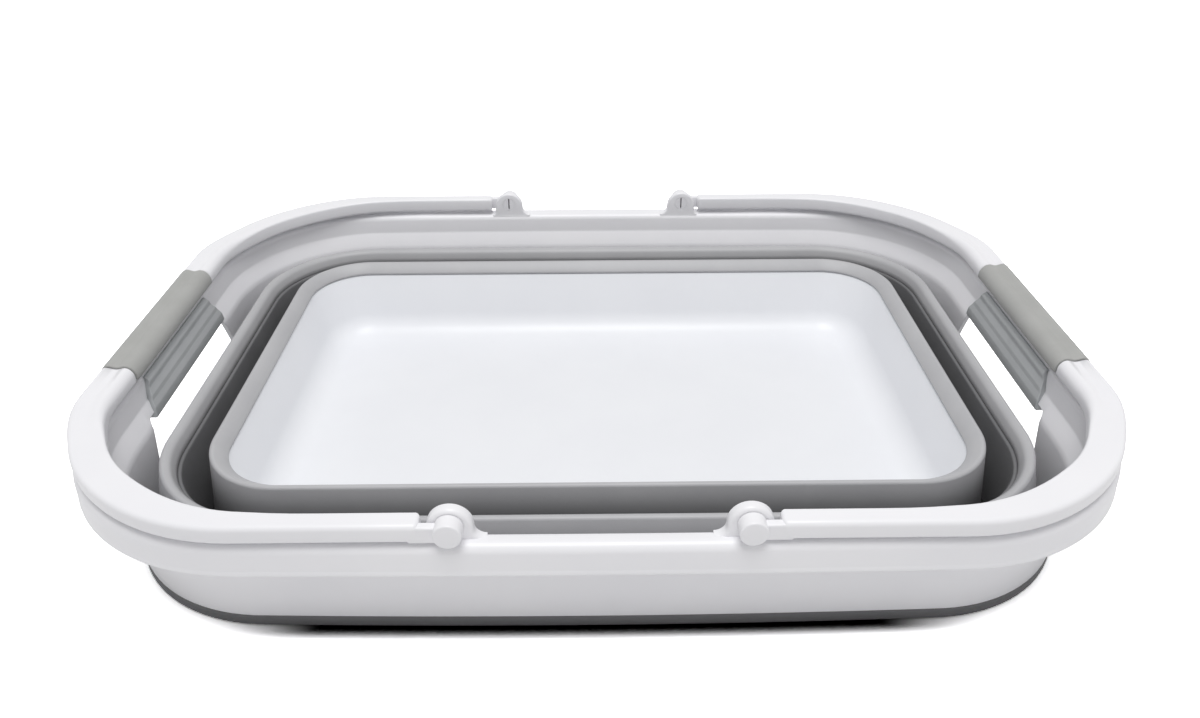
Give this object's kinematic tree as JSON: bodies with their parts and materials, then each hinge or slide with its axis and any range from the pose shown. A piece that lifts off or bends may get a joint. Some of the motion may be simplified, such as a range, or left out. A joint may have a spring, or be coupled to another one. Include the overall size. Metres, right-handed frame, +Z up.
{
  "type": "collapsible washbasin",
  "caption": "Collapsible camp washbasin folded flat: rigid tray, middle ring and rim joined by soft webs, with two swinging carry handles and soft grips.",
  "frame": {"origin": "middle of the tray's underside, on the ground the basin stands on", "axes": "+Z up, +X along the length from the left handle to the right handle, -Y towards the viewer of the picture"},
  "size_m": [0.4182, 0.303, 0.0667],
  "materials": {
    "tray_white": "smooth moulded polypropylene, satin",
    "frame_white": "smooth moulded polypropylene, satin",
    "handle_white": "smooth moulded polypropylene, satin",
    "ring_grey": "grey moulded ring, satin",
    "soft_grey": "soft thermoplastic rubber, matt",
    "grip_grey": "soft thermoplastic rubber, matt"
  },
  "bodies": {
    "base": {"floor_tray": "tray_white"},
    "ring": {"middle_ring": "ring_grey", "lower_web": "soft_grey"},
    "frame": {"rim_frame": "frame_white", "upper_web": "soft_grey", "left_end_grip": "grip_grey", "right_end_grip": "grip_grey"},
    "left_bail": {"left_handle": "handle_white", "left_handle_grip": "grip_grey"},
    "right_bail": {"right_handle": "handle_white", "right_handle_grip": "grip_grey"}
  },
  "joints": [
    {"name": "ring_lift", "type": "slide", "parent": "base", "child": "ring", "axis": [0, 0, 1], "range_m": [0, 0.0708], "deforming": ["lower_web"]},
    {"name": "frame_lift", "type": "slide", "parent": "ring", "child": "frame", "axis": [0, 0, 1], "range_m": [0, 0.0668], "deforming": ["upper_web"]},
    {"name": "left_bail_swing", "type": "hinge", "parent": "frame", "child": "left_bail", "pos_m": [-0.0507, 0, 0.058], "axis": [0, 1, 0], "range_deg": [0, 107]},
    {"name": "right_bail_swing", "type": "hinge", "parent": "frame", "child": "right_bail", "pos_m": [0.0507, 0, 0.058], "axis": [0, -1, 0], "range_deg": [0, 107]}
  ]
}
